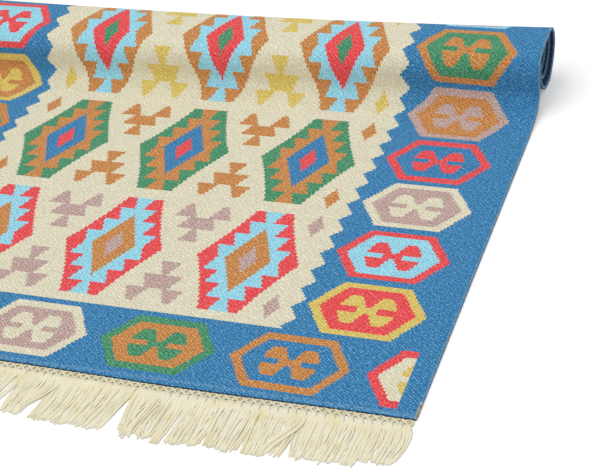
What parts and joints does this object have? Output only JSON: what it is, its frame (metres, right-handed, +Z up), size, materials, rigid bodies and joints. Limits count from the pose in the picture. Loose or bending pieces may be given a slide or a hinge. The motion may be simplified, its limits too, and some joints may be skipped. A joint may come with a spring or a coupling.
{
  "type": "printed rug",
  "caption": "Flat-woven rug with a printed medallion pattern, lying open at its fringed end and rolled under at the other end.",
  "frame": {"origin": "on the floor, under the middle of the rug's bounding box", "axes": "+X across the rug along the roll, +Y from the fringe towards the roll, +Z up"},
  "size_m": [1.2, 1.1194, 0.115],
  "materials": {
    "woven_cloth": "matte printed flat weave with a diagonal rib; blue border, cream field",
    "fringe_yarn": "matte twisted cotton yarn, cream"
  },
  "bodies": {
    "root": {"rug_cloth": "woven_cloth", "fringe": "fringe_yarn"}
  },
  "joints": []
}
